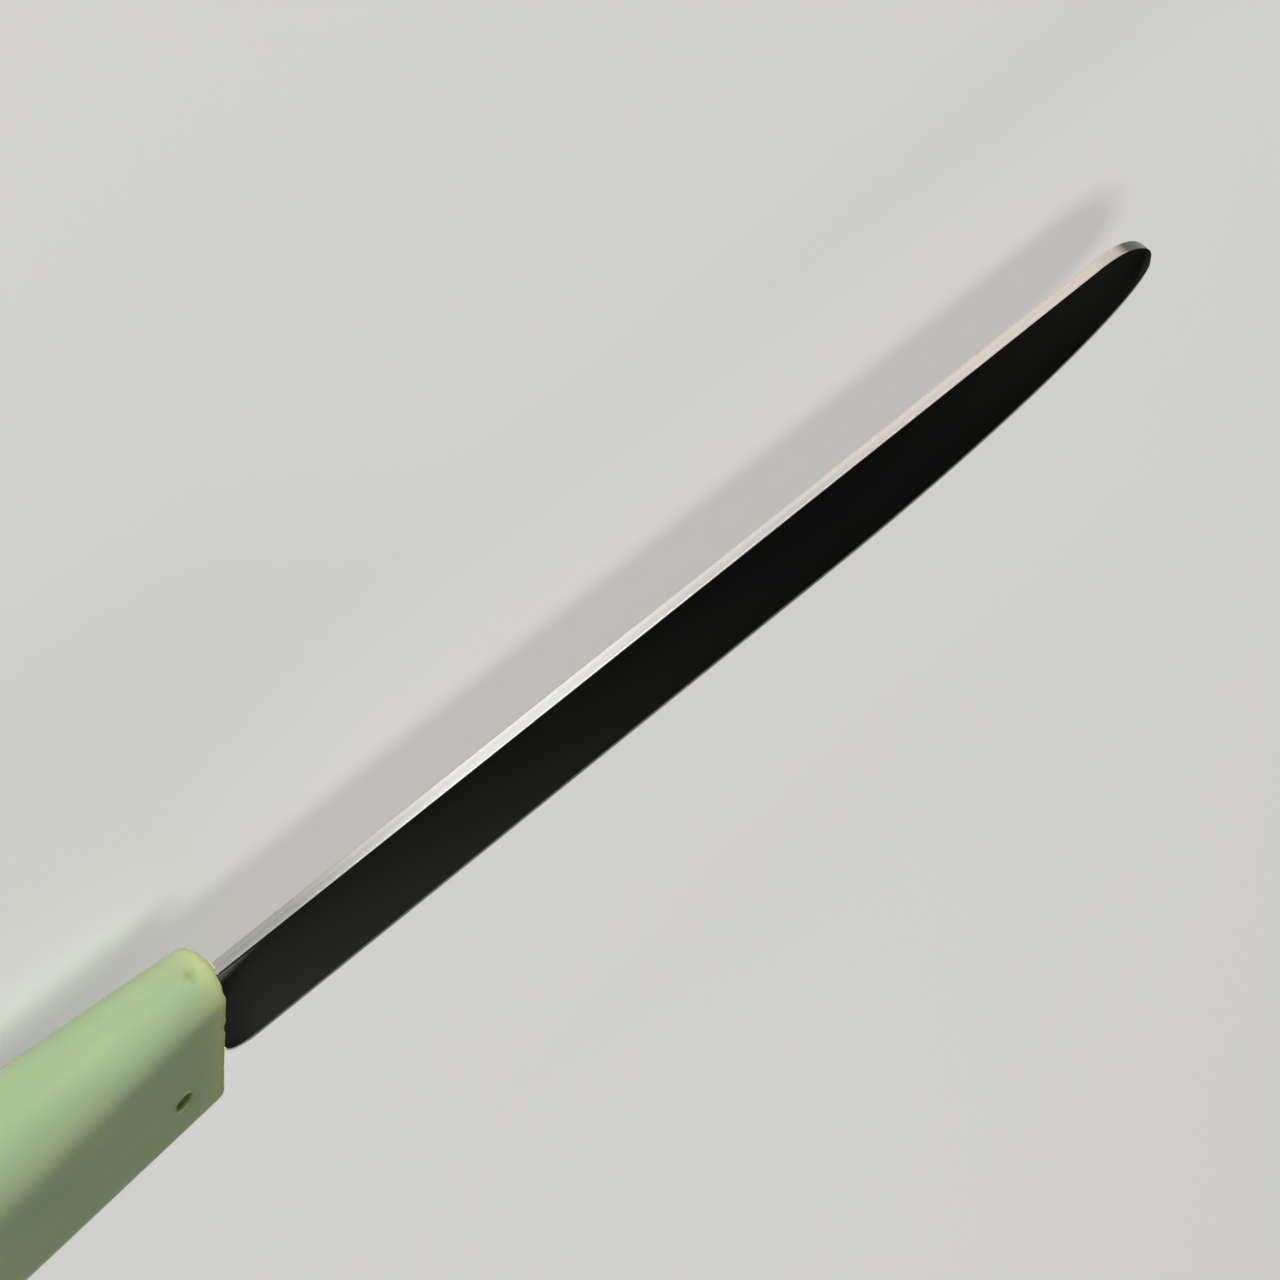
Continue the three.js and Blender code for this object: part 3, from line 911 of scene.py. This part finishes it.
def set_cement(c):
    """Resin and chalk cement, set hard: a matt cream crumb with darker grains."""
    material, tree, shader = start_material("Resin cement, set and crumbled")
    place = add_node(tree, "ShaderNodeTexCoord").outputs["Object"]
    # Chalk grains, about 0.25 mm
    grains = add_node(
        tree, "ShaderNodeTexNoise", {"Vector": place, "Scale": 1 / (0.25 * MM), "Detail": 4.0}
    )
    tone = add_node(tree, "ShaderNodeValToRGB", {"Fac": grains.outputs["Fac"]})
    tone.color_ramp.elements[0].position = 0.32
    tone.color_ramp.elements[0].color = opaque(c.stain)
    tone.color_ramp.elements[1].position = 0.52
    tone.color_ramp.elements[1].color = opaque(c.cement)
    matt = add_node(
        tree, "ShaderNodeMapRange", {"Value": grains.outputs["Fac"], "To Min": 0.98, "To Max": 0.7}
    )
    relief = add_node(
        tree, "ShaderNodeBump", {"Height": grains.outputs["Fac"], "Strength": 0.7, "Distance": 0.1 * MM}
    )
    tree.links.new(tone.outputs["Color"], shader.inputs["Base Color"])
    tree.links.new(matt.outputs[0], shader.inputs["Roughness"])
    tree.links.new(relief.outputs[0], shader.inputs["Normal"])
    return material


class KNIFE_OT_pin(bpy.types.Operator):
    """Makes the pin across the handle"""

    bl_idname = "knife.pin"
    bl_label = "Pin"

    def execute(self, context):
        c = context.scene.knife_cement
        half = (PIN_HIGH.z - PIN_LOW.z) / 2
        # The cropped end is slightly domed, with its corner broken
        domed, broken = 0.16 * MM, 0.1 * MM
        shares = (0.25, 0.5, 0.75, 0.9, 1.0)
        end = [(PIN_RADIUS * share, half - domed * share**3 - broken * (share == 1.0)) for share in shares]
        profile = end + [(r, -z) for r, z in reversed(end)]
        turns = span(0, math.tau, 48)[:-1]
        rings = [
            [(PIN_X - FRONT + r * math.cos(a), PIN_Y + r * math.sin(a), z) for a in turns] for r, z in profile
        ]
        pin = skin("pin_dressed", rings)
        pin.data.set_sharp_from_angle(angle=math.radians(40))
        dress(pin, "tang_pin", "pin_wire", dull_pin(c))
        return {"FINISHED"}


def dull_pin(c):
    """Drawn steel wire, cropped and tarnished: a dull grey end with brown in its pits."""
    material, tree, shader = start_material("Steel wire, cropped and tarnished", **{"Metallic": 1.0})
    place = add_node(tree, "ShaderNodeTexCoord").outputs["Object"]
    # Pits, about 0.3 mm
    pits = add_node(tree, "ShaderNodeTexNoise", {"Vector": place, "Scale": 1 / (0.3 * MM), "Detail": 4.0})
    tone = add_node(tree, "ShaderNodeValToRGB", {"Fac": pits.outputs["Fac"]})
    tone.color_ramp.elements[0].position = 0.38
    tone.color_ramp.elements[0].color = opaque(c.pin_pits)
    tone.color_ramp.elements[1].position = 0.6
    tone.color_ramp.elements[1].color = opaque(c.pin)
    matt = add_node(
        tree, "ShaderNodeMapRange", {"Value": pits.outputs["Fac"], "To Min": 0.75, "To Max": 0.35}
    )
    relief = add_node(
        tree, "ShaderNodeBump", {"Height": pits.outputs["Fac"], "Strength": 0.5, "Distance": 0.06 * MM}
    )
    tree.links.new(tone.outputs["Color"], shader.inputs["Base Color"])
    tree.links.new(matt.outputs[0], shader.inputs["Roughness"])
    tree.links.new(relief.outputs[0], shader.inputs["Normal"])
    return material


# Camera as fitted to the knife's outline in the photograph, and the point that the panels face
CAMERA_RIGHT, CAMERA_UP = Vector((0.70203, 0.05110, 0.71031)), Vector((0.56029, 0.57604, -0.59519))
CAMERA_AIM, CAMERA_DISTANCE = Vector((0.041477, 0.005246, 0.006582)), 0.76923
SENSOR, FOCAL_PIXELS, PICTURE_PIXELS = 36, 8369.5, 1280
PANEL_AIM = Vector((0.03, 0, 0.005))

# The floor's radius, and how far it lies below the knife so that the two never meet
FLOOR_RADIUS, FLOOR_DROP = 8, 0.05 * MM


class KNIFE_OT_stage(bpy.types.Operator):
    """Makes the floor, the studio light and the camera"""

    bl_idname = "knife.stage"
    bl_label = "Studio"

    def execute(self, context):
        scene = context.scene
        s = scene.knife_stage
        scene.view_settings.view_transform = "Standard"
        make_camera(scene)
        make_floor(s)
        make_world(scene, s)
        key = make_panel(scene, "key_panel", s.key, (0.7, 0.1), Vector((0.1, 0.985, 0.055)))
        key.visible_glossy = False
        make_panel(scene, "strip_panel", s.strip, (0.12, 0.24), Vector((0.42, 0.9, 0.13)))
        make_panel(scene, "fill_panel", s.fill, (0.8, 0.2), Vector((-0.45, -0.88, 0.12)))
        make_panel(scene, "top_panel", s.top, (0.6, 0.6), Vector((-0.3, 0.1, 1.0)))
        return {"FINISHED"}


def make_camera(scene):
    """Camera at the photograph's angle, distance and lens."""
    back = CAMERA_RIGHT.cross(CAMERA_UP).normalized()
    data = bpy.data.cameras.new("camera")
    data.sensor_width = SENSOR
    data.lens = SENSOR * FOCAL_PIXELS / PICTURE_PIXELS
    data.clip_start, data.clip_end = 0.01, 50
    camera = bpy.data.objects.new("camera", data)
    camera.matrix_world = Matrix((CAMERA_RIGHT, CAMERA_UP, back)).transposed().to_4x4()
    camera.location = CAMERA_AIM + CAMERA_DISTANCE * back
    scene.collection.objects.link(camera)
    scene.camera = camera


def seen_directly(tree, *kinds):
    """1 for such a ray that met no matt surface on its way, 0 for the light that is shed."""
    path = add_node(tree, "ShaderNodeLightPath")
    seen = path.outputs["Is Transmission Ray"]
    for kind in kinds:
        either = add_node(tree, "ShaderNodeMath", {0: seen, 1: path.outputs[kind]}, operation="MAXIMUM")
        seen = either.outputs[0]
    depth = path.outputs["Diffuse Depth"]
    direct = add_node(tree, "ShaderNodeMath", {0: depth, 1: 0.5}, operation="LESS_THAN")
    both = add_node(tree, "ShaderNodeMath", {0: seen, 1: direct.outputs[0]}, operation="MULTIPLY")
    return both.outputs[0]


def make_floor(s):
    """Matt pale paper, just below the knife, which keeps its shadow."""
    shell = bmesh.new()
    bmesh.ops.create_circle(shell, cap_ends=True, radius=FLOOR_RADIUS, segments=96)
    floor = add_object("floor", shell)
    floor.location.z = -FLOOR_DROP
    paper = opaque(s.floor)
    material, tree, shader = start_material(
        "Matt paper, pale",
        **{"Base Color": paper, "Emission Color": paper, "Roughness": 0.9, "Specular IOR Level": 0.2},
    )
    seen = seen_directly(tree, "Is Camera Ray", "Is Glossy Ray")
    glow = add_node(tree, "ShaderNodeMath", {0: seen, 1: s.glow}, operation="MULTIPLY")
    tree.links.new(glow.outputs[0], shader.inputs["Emission Strength"])
    floor.data.materials.append(material)


def make_world(scene, s):
    """Even dome: pale where it is seen, dim as light, unlit on one side so that polished steel is black."""
    world = bpy.data.worlds.new("studio")
    scene.world = world
    world.use_nodes = True
    tree = world.node_tree
    tree.nodes.clear()
    place = add_node(tree, "ShaderNodeTexCoord").outputs["Generated"]
    walls = add_node(tree, "ShaderNodeTexNoise", {"Vector": place, "Scale": 7.0, "Detail": 0.0})
    pale = add_node(
        tree, "ShaderNodeMapRange",
        {"Value": walls.outputs["Fac"], "From Min": 0.38, "From Max": 0.6, "To Min": 0.25, "To Max": 0.95},
        interpolation_type="SMOOTHSTEP",
    )
    toward = add_node(
        tree, "ShaderNodeVectorMath", {0: place, 1: (0.5, -0.79, 0.36)}, operation="DOT_PRODUCT"
    )
    lit = add_node(
        tree, "ShaderNodeMapRange",
        {
            "Value": toward.outputs["Value"],
            "From Min": 0.75, "From Max": 0.997, "To Min": 1.0, "To Max": 0.016,
        },
    )
    look = add_node(tree, "ShaderNodeMath", {0: pale.outputs[0], 1: lit.outputs[0]}, operation="MULTIPLY")
    level = add_node(
        tree, "ShaderNodeMix",
        {"Factor": seen_directly(tree, "Is Glossy Ray"), "A": s.dome, "B": look.outputs[0]},
        data_type="FLOAT",
    )
    level = add_node(
        tree, "ShaderNodeMix",
        {"Factor": seen_directly(tree, "Is Camera Ray"), "A": level.outputs["Result"], "B": 0.8},
        data_type="FLOAT",
    )
    shade = add_node(
        tree, "ShaderNodeBackground", {"Color": opaque(s.floor), "Strength": level.outputs["Result"]}
    )
    add_node(tree, "ShaderNodeOutputWorld", {"Surface": shade.outputs[0]})


def make_panel(scene, name, power, size, away):
    """Soft panel facing the knife, itself out of the picture."""
    data = bpy.data.lights.new(name, "AREA")
    data.shape = "RECTANGLE"
    data.size, data.size_y = size
    data.energy = power
    panel = bpy.data.objects.new(name, data)
    panel.location = PANEL_AIM + away
    panel.rotation_mode = "QUATERNION"
    panel.rotation_quaternion = away.to_track_quat("Z", "Y")
    panel.visible_camera = False
    scene.collection.objects.link(panel)
    return panel


class KNIFE_PT_sidebar(bpy.types.Panel):
    """Lists the knife's pieces and their settings"""

    bl_idname = "KNIFE_PT_sidebar"
    bl_label = "Table knife"
    bl_space_type = "VIEW_3D"
    bl_region_type = "UI"
    bl_category = "Knife"

    def draw(self, context):
        for operator in OPERATORS:
            self.layout.operator(operator.bl_idname)
        for name in SETTINGS:
            group = getattr(context.scene, name)
            box = self.layout.box()
            for prop in group.bl_rna.properties:
                if prop.identifier not in ("rna_type", "name"):
                    box.prop(group, prop.identifier)


SETTINGS = {
    "knife_blade": BladeSettings,
    "knife_handle": HandleSettings,
    "knife_cement": CementSettings,
    "knife_stage": StageSettings,
}
OPERATORS = (KNIFE_OT_blade, KNIFE_OT_handle, KNIFE_OT_cement, KNIFE_OT_pin, KNIFE_OT_stage)
CLASSES = (*SETTINGS.values(), *OPERATORS, KNIFE_PT_sidebar)


def register():
    for cls in CLASSES:
        bpy.utils.register_class(cls)
    for name, group in SETTINGS.items():
        setattr(bpy.types.Scene, name, PointerProperty(type=group))


def unregister():
    for name in SETTINGS:
        delattr(bpy.types.Scene, name)
    for cls in reversed(CLASSES):
        bpy.utils.unregister_class(cls)


def main():
    register()
    bpy.ops.knife.stage()
    bpy.ops.knife.blade()
    bpy.ops.knife.handle()
    bpy.ops.knife.cement()
    bpy.ops.knife.pin()


if __name__ == "__main__":
    main()
